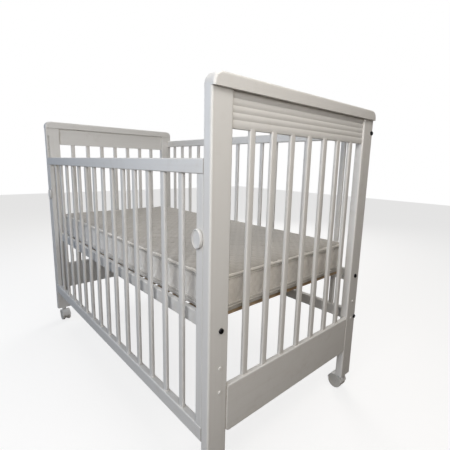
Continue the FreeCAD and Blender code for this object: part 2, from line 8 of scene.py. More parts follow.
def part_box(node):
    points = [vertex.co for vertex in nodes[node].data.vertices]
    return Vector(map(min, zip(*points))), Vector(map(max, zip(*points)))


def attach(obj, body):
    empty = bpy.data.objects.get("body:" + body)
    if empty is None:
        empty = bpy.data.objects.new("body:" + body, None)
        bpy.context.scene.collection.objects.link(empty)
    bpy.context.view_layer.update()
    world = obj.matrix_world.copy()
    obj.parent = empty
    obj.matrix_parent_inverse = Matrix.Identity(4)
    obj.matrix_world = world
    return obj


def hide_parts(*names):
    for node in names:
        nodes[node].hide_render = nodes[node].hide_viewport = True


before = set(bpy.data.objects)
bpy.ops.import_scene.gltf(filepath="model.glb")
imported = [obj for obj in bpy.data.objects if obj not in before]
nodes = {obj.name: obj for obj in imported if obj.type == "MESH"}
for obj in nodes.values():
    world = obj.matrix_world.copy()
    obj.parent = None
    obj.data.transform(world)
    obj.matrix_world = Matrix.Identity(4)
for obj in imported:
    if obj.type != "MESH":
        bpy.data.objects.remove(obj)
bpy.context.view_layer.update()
scene = bpy.context.scene
print("frame loaded:", len(nodes), "nodes")


# ---- view, floor and light

viewValues = {
    "place": (1.164, -0.7565, 0.8187),
    "lookAt": (-0.1418, 0.4140, 0.5),
    "lens": 26.38,          # mm on a 36 mm sensor
    "roll": 1.33,           # degrees
    "shift": (-0.008, -0.002),
}

stageValues = {
    "floorSize": 16.0,
    "floorColor": (0.28, 0.277, 0.273, 1),
    "floorGlow": 0.75,      # lifts the floor towards white where it is seen
    "floorBounce": (0.1, 0.08, 0.062, 1),  # what the floor throws back on the cot
    "roomLight": (1.0, 0.87, 0.73, 1),
    "roomStrength": 0.075,
    "backColor": (1.0, 1.0, 1.0, 1),
    "paperRough": 0.9,
}

# place, point lit, width and height in metres, watts, color
lampValues = {
    "windowLight": ((1.19, -2.17, 1.55), (0.1, -0.2, 0.6), 1.4, 1.4, 29, (0.91, 0.945, 1.0)),
    "skyLight": ((-1.6, -1.9, 1.3), (-0.6, -0.2, 0.5), 1.2, 1.2, 10, (0.5, 0.7, 1.0)),
    "cornerLight": ((1.8, -1.0, 1.2), (0.3, -0.1, 0.6), 0.6, 0.6, 7.5, (1.0, 0.945, 0.87)),
    "endLight": ((1.3, -0.17, 1.82), (0.62, 0.0, 0.75), 0.5, 0.5, 6, (1.0, 0.94, 0.86)),
    "topLight": ((-0.3, 0.3, 3.0), (0.0, 0.0, 0.4), 2.2, 2.2, 21, (1.0, 0.985, 0.965)),
    "backLight": ((-2.0, 2.3, 1.7), (0.0, 0.1, 0.5), 1.6, 1.6, 40, (1.0, 0.98, 0.95)),
}


def aimed(place, target, roll=0.0):
    forward = (Vector(target) - Vector(place)).normalized()
    turn = forward.to_track_quat("-Z", "Y").to_matrix().to_4x4()
    return Matrix.Translation(place) @ turn @ Matrix.Rotation(math.radians(roll), 4, "Z")


def makeCamera():
    data = bpy.data.cameras.new("camera")
    data.lens = viewValues["lens"]
    data.sensor_width = 36.0
    data.shift_x, data.shift_y = viewValues["shift"]
    data.clip_start = 0.01
    camera = bpy.data.objects.new("camera", data)
    camera.matrix_world = aimed(viewValues["place"], viewValues["lookAt"], viewValues["roll"])
    scene.collection.objects.link(camera)
    scene.camera = camera


def makeStage():
    half = stageValues["floorSize"] / 2
    mesh = bpy.data.meshes.new("floor")
    corners = [(-half, -half, 0), (half, -half, 0), (half, half, 0), (-half, half, 0)]
    mesh.from_pydata(corners, [], [(0, 1, 2, 3)])
    floor = bpy.data.objects.new("floor", mesh)
    scene.collection.objects.link(floor)
    material = bpy.data.materials.new("floorPaper")
    material.use_nodes = True
    tree = material.node_tree
    shader = tree.nodes["Principled BSDF"]
    shader.inputs["Roughness"].default_value = stageValues["paperRough"]
    seen = tree.nodes.new("ShaderNodeLightPath")
    color = tree.nodes.new("ShaderNodeMix")
    color.data_type = "RGBA"
    color.inputs[6].default_value = stageValues["floorBounce"]
    color.inputs[7].default_value = stageValues["floorColor"]
    tree.links.new(seen.outputs["Is Camera Ray"], color.inputs[0])
    tree.links.new(color.outputs[2], shader.inputs["Base Color"])
    glow = tree.nodes.new("ShaderNodeMath")
    glow.operation = "MULTIPLY"
    glow.inputs[1].default_value = stageValues["floorGlow"]
    tree.links.new(seen.outputs["Is Camera Ray"], glow.inputs[0])
    tree.links.new(glow.outputs[0], shader.inputs["Emission Strength"])
    shader.inputs["Emission Color"].default_value = stageValues["backColor"]
    mesh.materials.append(material)

    # the room lights softly; what is seen behind the cot stays plain white
    world = bpy.data.worlds.new("room")
    scene.world = world
    world.use_nodes = True
    tree = world.node_tree
    light = tree.nodes["Background"]
    light.inputs["Color"].default_value = stageValues["roomLight"]
    light.inputs["Strength"].default_value = stageValues["roomStrength"]
    back = tree.nodes.new("ShaderNodeBackground")
    back.inputs["Color"].default_value = stageValues["backColor"]
    path = tree.nodes.new("ShaderNodeLightPath")
    mix = tree.nodes.new("ShaderNodeMixShader")
    tree.links.new(path.outputs["Is Camera Ray"], mix.inputs[0])
    tree.links.new(light.outputs[0], mix.inputs[1])
    tree.links.new(back.outputs[0], mix.inputs[2])
    tree.links.new(mix.outputs[0], tree.nodes["World Output"].inputs["Surface"])


def makeLamps():
    for name, (place, target, wide, tall, watts, color) in lampValues.items():
        data = bpy.data.lights.new(name, "AREA")
        data.shape = "RECTANGLE"
        data.size, data.size_y = wide, tall
        data.energy = watts
        data.color = color
        lamp = bpy.data.objects.new(name, data)
        lamp.matrix_world = aimed(place, target)
        scene.collection.objects.link(lamp)


makeCamera()
makeStage()
makeLamps()
scene.view_settings.view_transform = "Standard"
print("camera, floor and lamps are in place")


# ---- small helpers for node trees

def addNode(tree, kind, values=None, **settings):
    node = tree.nodes.new(kind)
    for key, value in settings.items():
        setattr(node, key, value)
    for key, value in (values or {}).items():
        node.inputs[key].default_value = value
    return node


def link(tree, source, target):
    tree.links.new(source, target)


def makeGroup(name, inputs, outputs, kind="ShaderNodeTree"):
    tree = bpy.data.node_groups.new(name, kind)
    for title, socketType, value in inputs:
        socket = tree.interface.new_socket(title, in_out="INPUT", socket_type=socketType)
        if value is not None:
            socket.default_value = value
    for title, socketType in outputs:
        tree.interface.new_socket(title, in_out="OUTPUT", socket_type=socketType)
    return tree, tree.nodes.new("NodeGroupInput"), tree.nodes.new("NodeGroupOutput")


def mathNode(tree, operation, first, second=None, third=None, clamp=False):
    node = tree.nodes.new("ShaderNodeMath")
    node.operation = operation
    node.use_clamp = clamp
    for place, value in enumerate((first, second, third)):
        if value is None:
            continue
        if isinstance(value, (int, float)):
            node.inputs[place].default_value = value
        else:
            tree.links.new(value, node.inputs[place])
    return node.outputs[0]


def scaled(tree, vector, factors):
    node = addNode(tree, "ShaderNodeVectorMath", operation="MULTIPLY")
    tree.links.new(vector, node.inputs[0])
    if isinstance(factors, tuple):
        node.inputs[1].default_value = factors
    else:
        tree.links.new(factors, node.inputs[1])
    return node.outputs[0]


def noiseValue(tree, vector, scale, detail=3.0, roughness=0.55):
    node = addNode(tree, "ShaderNodeTexNoise",
                   {"Scale": scale, "Detail": detail, "Roughness": roughness})
    tree.links.new(vector, node.inputs["Vector"])
    return node.outputs["Fac"]


def mixColor(tree, factor, first, second, blend="MIX"):
    node = addNode(tree, "ShaderNodeMix", data_type="RGBA", blend_type=blend)
    for place, value in ((0, factor), (6, first), (7, second)):
        if isinstance(value, (int, float, tuple)):
            node.inputs[place].default_value = value
        else:
            tree.links.new(value, node.inputs[place])
    return node.outputs[2]


def ramp(tree, value, low, high, toLow=0.0, toHigh=1.0):
    node = addNode(tree, "ShaderNodeMapRange", {1: low, 2: high, 3: toLow, 4: toHigh}, clamp=True)
    tree.links.new(value, node.inputs[0])
    return node.outputs[0]


# ---- shared effects

coatValues = {
    "grainScale": 0.32,     # of the streaks of the wood, against those of the brush
    "broadScale": 3.5,
    "peelScale": 420.0,
    "blotchScale": 26.0,
    "grainSoil": 0.10,
    "blotchSoil": 0.22,
    "toneSoil": 0.16,       # how much single slats differ
    # painted shade: how strongly corners and crevices darken, as found by ambient occlusion
    "creviceReach": 0.011,
    "creviceShade": 0.55,
    "brushRough": 0.10,
    "blotchRough": 0.14,
}


def paintCoatGroup():
    # brushed paint over wood: a color, a roughness and a relief height; the color also carries painted
    # shade in its crevices
    values = coatValues
    tree, given, result = makeGroup(
        "paintCoat",
        [("Vector", "NodeSocketVector", None), ("Stretch", "NodeSocketVector", (1, 1, 1)),
         ("Paint", "NodeSocketColor", (0.8, 0.8, 0.8, 1)),
         ("SoilAndShade", "NodeSocketColor", (0.6, 0.55, 0.5, 1)),
         ("Tone", "NodeSocketFloat", 0.0), ("Sheen", "NodeSocketFloat", 0.36)],
        [("Color", "NodeSocketColor"), ("Roughness", "NodeSocketFloat"), ("Height", "NodeSocketFloat")])
    place = given.outputs["Vector"]
    streaked = scaled(tree, place, given.outputs["Stretch"])
    brush = noiseValue(tree, streaked, 1.0, 4.0, 0.6)
    grain = noiseValue(tree, streaked, values["grainScale"], 2.0, 0.5)
    broad = noiseValue(tree, place, values["broadScale"], 2.0, 0.5)
    peel = noiseValue(tree, place, values["peelScale"], 1.0, 0.4)
    blotch = noiseValue(tree, place, values["blotchScale"], 4.0, 0.62)
    soilMask = mathNode(tree, "MULTIPLY", ramp(tree, blotch, 0.52, 0.75), ramp(tree, broad, 0.35, 0.65))
    soilMask = mathNode(tree, "MULTIPLY_ADD", ramp(tree, grain, 0.5, 0.8), values["grainSoil"],
                        mathNode(tree, "MULTIPLY", soilMask, values["blotchSoil"]), clamp=True)
    soilMask = mathNode(tree, "MULTIPLY_ADD", given.outputs["Tone"], values["toneSoil"],
                        soilMask, clamp=True)
    # painted shade: where ambient occlusion finds corners and crevices, the color darkens towards the
    # soil color
    corner = addNode(tree, "ShaderNodeAmbientOcclusion",
                     {"Distance": values["creviceReach"]}, samples=4)
    crevice = ramp(tree, corner.outputs["AO"], 0.25, 0.85, values["creviceShade"], 0.0)
    color = mixColor(tree, soilMask, given.outputs["Paint"], given.outputs["SoilAndShade"])
    color = mixColor(tree, crevice, color, given.outputs["SoilAndShade"])
    link(tree, color, result.inputs["Color"])
    rough = mathNode(tree, "MULTIPLY_ADD", ramp(tree, brush, 0.3, 0.7), values["brushRough"],
                     given.outputs["Sheen"])
    rough = mathNode(tree, "MULTIPLY_ADD", ramp(tree, blotch, 0.4, 0.8), values["blotchRough"],
                     rough, clamp=True)
    link(tree, rough, result.inputs["Roughness"])
    height = mathNode(tree, "MULTIPLY_ADD", brush, 0.55, mathNode(tree, "MULTIPLY", peel, 0.22))
    height = mathNode(tree, "MULTIPLY_ADD", grain, 0.6, height)
    link(tree, height, result.inputs["Height"])
    return tree


wearValues = {
    "scratch": (900, 900, 160),     # fine scratches run with Z
    "broadScale": 60.0,
    # painted shade in corners by ambient occlusion: its reach and strength; then real dust all over
    "cornerShadeReach": 0.006,
    "cornerShade": 0.8,
    "dustAllOver": 0.15,
}


def wearGroup():
    # scuffs, and dust with painted shade in the corners, for plastic and metal: masks only
    tree, given, result = makeGroup(
        "scuffs", [("Vector", "NodeSocketVector", None), ("Amount", "NodeSocketFloat", 0.5)],
        [("Scuff", "NodeSocketFloat"), ("DustAndShade", "NodeSocketFloat"), ("Height", "NodeSocketFloat")])
    place = given.outputs["Vector"]
    fine = noiseValue(tree, scaled(tree, place, wearValues["scratch"]), 1.0, 3.0, 0.7)
    broad = noiseValue(tree, place, wearValues["broadScale"], 3.0, 0.6)
    scuff = mathNode(tree, "MULTIPLY", ramp(tree, fine, 0.55, 0.72), ramp(tree, broad, 0.42, 0.62))
    scuff = mathNode(tree, "MULTIPLY", scuff, given.outputs["Amount"], clamp=True)
    link(tree, scuff, result.inputs["Scuff"])
    # painted shade: ambient occlusion darkens the corners; a little dust lies all over
    corner = addNode(tree, "ShaderNodeAmbientOcclusion",
                     {"Distance": wearValues["cornerShadeReach"]}, samples=4)
    inCorners = ramp(tree, corner.outputs["AO"], 0.2, 0.9, 0.8, 0.0)
    dustAndShade = mathNode(tree, "MULTIPLY_ADD", inCorners, wearValues["cornerShade"],
                    mathNode(tree, "MULTIPLY", broad, wearValues["dustAllOver"]), clamp=True)
    dustAndShade = mathNode(tree, "MULTIPLY", dustAndShade, given.outputs["Amount"], clamp=True)
    link(tree, dustAndShade, result.inputs["DustAndShade"])
    link(tree, mathNode(tree, "MULTIPLY_ADD", fine, 0.4, broad), result.inputs["Height"])
    return tree


def weaveGroup():
    # a plain weave: threads over and under, as a height, and a mask of single threads
    tree, given, result = makeGroup(
        "weave", [("Vector", "NodeSocketVector", None), ("Threads", "NodeSocketFloat", 300.0)],
        [("Height", "NodeSocketFloat"), ("Cell", "NodeSocketFloat"), ("Fuzz", "NodeSocketFloat")])
    place = addNode(tree, "ShaderNodeVectorMath", operation="SCALE")
    link(tree, given.outputs["Vector"], place.inputs[0])
    link(tree, given.outputs["Threads"], place.inputs["Scale"])
    split = addNode(tree, "ShaderNodeSeparateXYZ")
    link(tree, place.outputs[0], split.inputs[0])
    wave = [mathNode(tree, "SINE", mathNode(tree, "MULTIPLY", split.outputs[i], math.pi))
            for i in (0, 1)]
    product = mathNode(tree, "MULTIPLY", wave[0], wave[1])
    warp = mathNode(tree, "ABSOLUTE", wave[0])
    weft = mathNode(tree, "ABSOLUTE", wave[1])
    over = ramp(tree, product, -0.15, 0.15)
    height = mathNode(tree, "ADD", mathNode(tree, "MULTIPLY", warp, over),
                      mathNode(tree, "MULTIPLY", weft, mathNode(tree, "SUBTRACT", 1.0, over)))
    link(tree, height, result.inputs["Height"])
    link(tree, over, result.inputs["Cell"])
    link(tree, noiseValue(tree, given.outputs["Vector"], 900.0, 2.0, 0.6), result.inputs["Fuzz"])
    return tree


paintCoat = paintCoatGroup()
scuffs = wearGroup()
weave = weaveGroup()


# ---- materials

def blankMaterial(name):
    material = bpy.data.materials.new(name)
    material.use_nodes = True
    tree = material.node_tree
    coords = addNode(tree, "ShaderNodeTexCoord")
    return material, tree, tree.nodes["Principled BSDF"], coords.outputs["Object"]


def useGroup(tree, group, vector, values=None):
    node = addNode(tree, "ShaderNodeGroup", node_tree=group)
    for key, value in (values or {}).items():
        node.inputs[key].default_value = value
    link(tree, vector, node.inputs["Vector"])
    return node


def bumpFrom(tree, shader, height, strength, distance):
    bump = addNode(tree, "ShaderNodeBump", {"Strength": strength, "Distance": distance})
    link(tree, height, bump.inputs["Height"])
    link(tree, bump.outputs[0], shader.inputs["Normal"])


paintValues = {
    "paint": (0.80, 0.795, 0.78, 1),
    # the color of soil, also used for the painted shade in crevices
    "soilAndShade": (0.52, 0.475, 0.415, 1),
    "sheen": 0.34,
    "relief": 0.22,
    "reliefDepth": 0.0007,
    "across": 260.0,        # brush streaks per metre across the grain
    "along": 7.0,           # and along it
    "coat": 0.12,
    "coatRough": 0.25,
}


def paintMaterial(name, grainAxis):
    material, tree, shader, place = blankMaterial(name)
    stretch = [paintValues["across"]] * 3
    stretch[grainAxis] = paintValues["along"]
    coat = useGroup(tree, paintCoat, place, {
        "Stretch": stretch, "Paint": paintValues["paint"], "SoilAndShade": paintValues["soilAndShade"],
        "Sheen": paintValues["sheen"]})
    tone = addNode(tree, "ShaderNodeAttribute", attribute_name="slatTone")
    link(tree, tone.outputs["Fac"], coat.inputs["Tone"])
    link(tree, coat.outputs["Color"], shader.inputs["Base Color"])
    link(tree, coat.outputs["Roughness"], shader.inputs["Roughness"])
    shader.inputs["Coat Weight"].default_value = paintValues["coat"]
    shader.inputs["Coat Roughness"].default_value = paintValues["coatRough"]
    bumpFrom(tree, shader, coat.outputs["Height"], paintValues["relief"], paintValues["reliefDepth"])
    return material


woodValues = {
    "pale": (0.66, 0.50, 0.33, 1),
    "dark": (0.44, 0.29, 0.16, 1),
    "rings": 55.0,
    "drawnOut": 18,         # how much longer the figure is along the grain
    "wave": {"Scale": 0.35, "Distortion": 7.0, "Detail": 3.0, "Detail Scale": 0.8},
    "relief": 0.35,
    "reliefDepth": 0.0006,
}


def woodMaterial(name, grainAxis):
    material, tree, shader, place = blankMaterial(name)
    stretch = [woodValues["rings"]] * 3
    stretch[grainAxis] = woodValues["rings"] / woodValues["drawnOut"]
    long = scaled(tree, place, tuple(stretch))
    wander = noiseValue(tree, long, 0.6, 3.0, 0.5)
    band = addNode(tree, "ShaderNodeTexWave", woodValues["wave"], bands_direction="DIAGONAL")
    link(tree, long, band.inputs["Vector"])
    pores = noiseValue(tree, scaled(tree, long, (9, 9, 9)), 1.0, 3.0, 0.7)
    mask = mathNode(tree, "MULTIPLY_ADD", band.outputs["Fac"], 0.55,
                    mathNode(tree, "MULTIPLY", wander, 0.4))
    color = mixColor(tree, mask, woodValues["pale"], woodValues["dark"])
    color = mixColor(tree, ramp(tree, pores, 0.58, 0.75, 0.0, 0.5), color, woodValues["dark"])
    link(tree, color, shader.inputs["Base Color"])
    link(tree, ramp(tree, pores, 0.3, 0.8, 0.42, 0.62), shader.inputs["Roughness"])
    bumpFrom(tree, shader, pores, woodValues["relief"], woodValues["reliefDepth"])
    return material


# color, color of dust and painted corner shade (plastic) or of wear (metal), roughness, amount of wear
plasticValues = {
    "whitePlastic": ((0.80, 0.80, 0.79, 1), (0.42, 0.39, 0.35, 1), 0.38, 0.5),
    "wheelPlastic": ((0.70, 0.685, 0.65, 1), (0.30, 0.27, 0.235, 1), 0.5, 0.9),
}
metalValues = {
    "blackSteel": ((0.035, 0.035, 0.04, 1), (0.16, 0.15, 0.14, 1), 0.42, 0.5),
    "zincSteel": ((0.62, 0.62, 0.60, 1), (0.42, 0.40, 0.36, 1), 0.32, 0.7),
}


def plasticMaterial(name):
    color, dustAndShadeColor, roughness, amount = plasticValues[name]
    material, tree, shader, place = blankMaterial(name)
    wear = useGroup(tree, scuffs, place, {"Amount": amount})
    # painted shade: the plastic darkens towards the dust color in its corners, with some dust all over
    tinted = mixColor(tree, wear.outputs["DustAndShade"], color, dustAndShadeColor)
    link(tree, tinted, shader.inputs["Base Color"])
    rough = ramp(tree, wear.outputs["Scuff"], 0.0, 1.0, roughness, roughness + 0.3)
    link(tree, rough, shader.inputs["Roughness"])
    shader.inputs["Specular IOR Level"].default_value = 0.45
    bumpFrom(tree, shader, wear.outputs["Height"], 0.12, 0.0004)
    return material


def metalMaterial(name):
    color, wornColor, roughness, amount = metalValues[name]
    material, tree, shader, place = blankMaterial(name)
    wear = useGroup(tree, scuffs, place, {"Amount": amount})
    tinted = mixColor(tree, wear.outputs["Scuff"], color, wornColor)
    link(tree, tinted, shader.inputs["Base Color"])
    rough = ramp(tree, wear.outputs["DustAndShade"], 0.0, 1.0, roughness, roughness + 0.35)
    link(tree, rough, shader.inputs["Roughness"])
    shader.inputs["Metallic"].default_value = 1.0
    bumpFrom(tree, shader, wear.outputs["Height"], 0.15, 0.0003)
    return material


clothValues = {
    "light": (0.50, 0.475, 0.44, 1),
    "dark": (0.36, 0.34, 0.31, 1),
    "sideLight": (0.87, 0.845, 0.805, 1),
    "sideDark": (0.74, 0.71, 0.665, 1),
    "threads": 330.0,       # threads per metre, coarse slub weave
    "checks": 72.0,         # woven checks per metre
    "slubs": (700, 60, 1),
    "rough": 0.88,
    "sheen": 0.25,
    "sheenRough": 0.45,
    "relief": 0.45,
    "reliefDepth": 0.0012,
}


def clothMaterial():
    # the top reads X and Y, the border reads the run round the mattress and its height
    material, tree, shader, place = blankMaterial("quiltedCotton")
    split = addNode(tree, "ShaderNodeSeparateXYZ")
    link(tree, place, split.inputs[0])
    geometry = addNode(tree, "ShaderNodeNewGeometry")
    facing = addNode(tree, "ShaderNodeSeparateXYZ")
    link(tree, geometry.outputs["True Normal"], facing.inputs[0])
    flat = ramp(tree, mathNode(tree, "ABSOLUTE", facing.outputs[2]), 0.62, 0.66)
    endOn = ramp(tree, mathNode(tree, "ABSOLUTE", facing.outputs[0]), 0.68, 0.72)
    run = mathNode(tree, "ADD", mathNode(tree, "MULTIPLY", split.outputs[1], endOn),
                   mathNode(tree, "MULTIPLY", split.outputs[0], mathNode(tree, "SUBTRACT", 1.0, endOn)))
    topPlace = addNode(tree, "ShaderNodeCombineXYZ")
    link(tree, split.outputs[0], topPlace.inputs[0])
    link(tree, split.outputs[1], topPlace.inputs[1])
    sidePlace = addNode(tree, "ShaderNodeCombineXYZ")
    link(tree, run, sidePlace.inputs[0])
    link(tree, split.outputs[2], sidePlace.inputs[1])
    chosen = addNode(tree, "ShaderNodeMix", data_type="VECTOR")
    link(tree, flat, chosen.inputs[0])
    link(tree, sidePlace.outputs[0], chosen.inputs[4])
    link(tree, topPlace.outputs[0], chosen.inputs[5])
    surface = chosen.outputs[1]
    threads = useGroup(tree, weave, surface, {"Threads": clothValues["threads"]})
    checks = useGroup(tree, weave, surface, {"Threads": clothValues["checks"]})
    broad = noiseValue(tree, place, 9.0, 3.0, 0.6)
    slub = noiseValue(tree, scaled(tree, surface, clothValues["slubs"]), 1.0, 2.0, 0.6)
    mask = mathNode(tree, "MULTIPLY_ADD", checks.outputs["Cell"], 0.26,
                    mathNode(tree, "MULTIPLY", broad, 0.3))
    mask = mathNode(tree, "MULTIPLY_ADD", ramp(tree, slub, 0.5, 0.75), 0.2, mask)
    mask = mathNode(tree, "MULTIPLY_ADD", threads.outputs["Cell"], 0.10, mask, clamp=True)
    topColor = mixColor(tree, mask, clothValues["light"], clothValues["dark"])
    sideColor = mixColor(tree, mask, clothValues["sideLight"], clothValues["sideDark"])
    link(tree, mixColor(tree, flat, sideColor, topColor), shader.inputs["Base Color"])
    shader.inputs["Roughness"].default_value = clothValues["rough"]
    shader.inputs["Sheen Weight"].default_value = clothValues["sheen"]
    shader.inputs["Sheen Roughness"].default_value = clothValues["sheenRough"]
    shader.inputs["Specular IOR Level"].default_value = 0.2
    height = mathNode(tree, "MULTIPLY_ADD", threads.outputs["Height"], 0.35,
                      mathNode(tree, "MULTIPLY", checks.outputs["Height"], 0.8))
    height = mathNode(tree, "MULTIPLY_ADD", threads.outputs["Fuzz"], 0.4, height)
    bumpFrom(tree, shader, height, clothValues["relief"], clothValues["reliefDepth"])
    return material


# light and dark threads
tapeValues = {
    "pipingTape": ((0.70, 0.68, 0.64, 1), (0.52, 0.49, 0.45, 1)),
    "seamThread": ((0.60, 0.58, 0.54, 1), (0.44, 0.41, 0.37, 1)),
}
tapeThreads = 520.0


def tapeMaterial(name):
    light, dark = tapeValues[name]
    material, tree, shader, place = blankMaterial(name)
    threads = useGroup(tree, weave, place, {"Threads": tapeThreads})
    worn = noiseValue(tree, place, 30.0, 3.0, 0.6)
    mask = mathNode(tree, "MULTIPLY_ADD", threads.outputs["Cell"], 0.3,
                    mathNode(tree, "MULTIPLY", worn, 0.4))
    link(tree, mixColor(tree, mask, light, dark), shader.inputs["Base Color"])
    shader.inputs["Roughness"].default_value = 0.8
    shader.inputs["Sheen Weight"].default_value = 0.2
    bumpFrom(tree, shader, threads.outputs["Height"], 0.4, 0.0008)
    return material


materials = {
    "paintUpright": paintMaterial("paintUpright", 2),
    "paintLengthwise": paintMaterial("paintLengthwise", 0),
    "paintCrosswise": paintMaterial("paintCrosswise", 1),
    "woodLengthwise": woodMaterial("woodLengthwise", 0),
    "woodCrosswise": woodMaterial("woodCrosswise", 1),
    "whitePlastic": plasticMaterial("whitePlastic"),
    "wheelPlastic": plasticMaterial("wheelPlastic"),
    "blackSteel": metalMaterial("blackSteel"),
    "zincSteel": metalMaterial("zincSteel"),
    "quiltedCotton": clothMaterial(),
    "pipingTape": tapeMaterial("pipingTape"),
    "seamThread": tapeMaterial("seamThread"),
}
print("materials are made:", len(materials))


def finishFor(name):
    # the finish of a CAD node, from what kind of piece it is
    if "bolts" in name:
        return "blackSteel"
    if "screw" in name or "nuts" in name or "axle" in name:
        return "zincSteel"
    if "wheels" in name:
        return "wheelPlastic"
    if name.startswith(("caster", "latch", "guide_track")) or "pins" in name:
        return "whitePlastic"
    if name == "base_laths" or name.startswith("base_end"):
        return "woodCrosswise"
    if name.startswith("base_side_rail"):
        return "paintLengthwise"
    if name.startswith(("base", "frame_dowels")):
        return "woodLengthwise"
    if name.endswith(("cap_rail", "panel", "board")):
        return "paintCrosswise"
    if name.endswith("_rail"):
        return "paintLengthwise"
    return "paintUpright"


for name, node in nodes.items():
    for slot in node.material_slots:
        slot.material = materials[finishFor(name)]
print("CAD nodes have their finishes")


# ---- rows of slats, by geometry nodes

slatValues = {
    "wide": 0.018,
    "thick": 0.010,
    "edge": 0.0032,
    "tenon": 0.010,
    "intoRail": 0.004,      # how far a slat runs into its mortise
    "lean": 0.0016,         # how much single slats stand out of true, in radians
}


def geometryTree(name, inputs):
    tree, given, result = makeGroup(
        name, inputs, [("Geometry", "NodeSocketGeometry")], "GeometryNodeTree")
    return tree, given.outputs, result.inputs["Geometry"]


def closeTree(tree, source, given, result):
    # every tree ends in the same way: real geometry, and its material
    real = addNode(tree, "GeometryNodeRealizeInstances")
    link(tree, source, real.inputs[0])
    finish = addNode(tree, "GeometryNodeSetMaterial")
    link(tree, real.outputs[0], finish.inputs["Geometry"])
    link(tree, given["Material"], finish.inputs["Material"])
    link(tree, finish.outputs[0], result)
    return tree


def slatTree():
    tree, given, result = geometryTree("slatRow", [
        ("Count", "NodeSocketInt", 7), ("First", "NodeSocketVector", (0, 0, 0)),
        ("Step", "NodeSocketVector", (0, 0, 0)),
        ("Width", "NodeSocketFloat", 0.018), ("Thickness", "NodeSocketFloat", 0.01),
        ("Length", "NodeSocketFloat", 0.6), ("Edge", "NodeSocketFloat", 0.003),
        ("Lean", "NodeSocketFloat", 0.0), ("Turn", "NodeSocketFloat", 0.0),
        ("Seed", "NodeSocketInt", 3), ("Material", "NodeSocketMaterial", None)])
    outline = addNode(tree, "GeometryNodeCurvePrimitiveQuadrilateral")
    link(tree, given["Width"], outline.inputs["Width"])
    link(tree, given["Thickness"], outline.inputs["Height"])
    rounded = addNode(tree, "GeometryNodeFilletCurve", {"Count": 5}, mode="POLY")
    link(tree, outline.outputs[0], rounded.inputs["Curve"])
    link(tree, given["Edge"], rounded.inputs["Radius"])
    top = addNode(tree, "ShaderNodeCombineXYZ")
    link(tree, given["Length"], top.inputs[2])
    path = addNode(tree, "GeometryNodeCurvePrimitiveLine")
    link(tree, top.outputs[0], path.inputs["End"])
    bar = addNode(tree, "GeometryNodeCurveToMesh", {"Fill Caps": True})
    link(tree, path.outputs[0], bar.inputs["Curve"])
    link(tree, rounded.outputs[0], bar.inputs["Profile Curve"])
    spots = addNode(tree, "GeometryNodeMeshLine")
    link(tree, given["Count"], spots.inputs["Count"])
    link(tree, given["First"], spots.inputs["Start Location"])
    link(tree, given["Step"], spots.inputs["Offset"])
    lean = addNode(tree, "FunctionNodeRandomValue", data_type="FLOAT_VECTOR")
    low = mathNode(tree, "MULTIPLY", given["Lean"], -1.0)
    for socket, value in ((0, low), (1, given["Lean"])):
        vector = addNode(tree, "ShaderNodeCombineXYZ")
        link(tree, value, vector.inputs[0])
        link(tree, value, vector.inputs[1])
        link(tree, given["Turn"], vector.inputs[2])
        link(tree, vector.outputs[0], lean.inputs[socket])
    link(tree, given["Seed"], lean.inputs["Seed"])
    row = addNode(tree, "GeometryNodeInstanceOnPoints")
    link(tree, spots.outputs[0], row.inputs["Points"])
    link(tree, bar.outputs[0], row.inputs["Instance"])
    turn = addNode(tree, "FunctionNodeEulerToRotation")
    link(tree, lean.outputs[0], turn.inputs[0])
    link(tree, turn.outputs[0], row.inputs["Rotation"])
    tone = addNode(tree, "FunctionNodeRandomValue", data_type="FLOAT")
    link(tree, given["Seed"], tone.inputs["Seed"])
    keep = addNode(tree, "GeometryNodeStoreNamedAttribute", {"Name": "slatTone"},
                   data_type="FLOAT", domain="INSTANCE")
    link(tree, row.outputs[0], keep.inputs["Geometry"])
    link(tree, tone.outputs[1], keep.inputs["Value"])
    return closeTree(tree, keep.outputs[0], given, result)


def grow(name, tree, values, start=None):
    # run a geometry tree once, on a start shape if it has one, and keep its result as a plain mesh
    holder = bpy.data.objects.new(name + "Maker", start or bpy.data.meshes.new(name + "Maker"))
    scene.collection.objects.link(holder)
    modifier = holder.modifiers.new("grow", "NODES")
    modifier.node_group = tree
    for item in tree.interface.items_tree:
        if item.item_type == "SOCKET" and item.in_out == "INPUT" and item.name in values:
            modifier[item.identifier] = values[item.name]
    bpy.context.view_layer.update()
    graph = bpy.context.evaluated_depsgraph_get()
    mesh = bpy.data.meshes.new_from_object(holder.evaluated_get(graph))
    mesh.name = name
    bpy.data.objects.remove(holder)
    piece = bpy.data.objects.new(name, mesh)
    scene.collection.objects.link(piece)
    return piece


def smoothed(mesh, degrees=35.0):
    for face in mesh.polygons:
        face.use_smooth = True
    mesh.set_sharp_from_angle(angle=math.radians(degrees))


def slatRow(nodeName, body, alongX, count, seed):
    low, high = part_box(nodeName)
    wide, thick = slatValues["wide"], slatValues["thick"]
    gapAxis = 0 if alongX else 1
    pitch = (high[gapAxis] - low[gapAxis] - wide) / (count - 1)
    middle = (low + high) / 2
    first = middle.copy()
    first[gapAxis] = low[gapAxis] + wide / 2
    hidden = slatValues["tenon"] - slatValues["intoRail"]
    first[2] = low[2] + hidden
    step = Vector((0, 0, 0))
    step[gapAxis] = pitch
    name = nodeName.replace("_slats", "") + "SlatRow"
    piece = grow(name, slatMaker, {
        "Count": count, "First": tuple(first), "Step": tuple(step), "Width": wide, "Thickness": thick,
        "Length": high[2] - low[2] - 2 * hidden, "Edge": slatValues["edge"],
        "Lean": slatValues["lean"], "Turn": 0.0 if alongX else math.pi / 2, "Seed": seed,
        "Material": materials["paintUpright"]})
    smoothed(piece.data)
    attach(piece, body)
    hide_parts(nodeName)


slatMaker = slatTree()
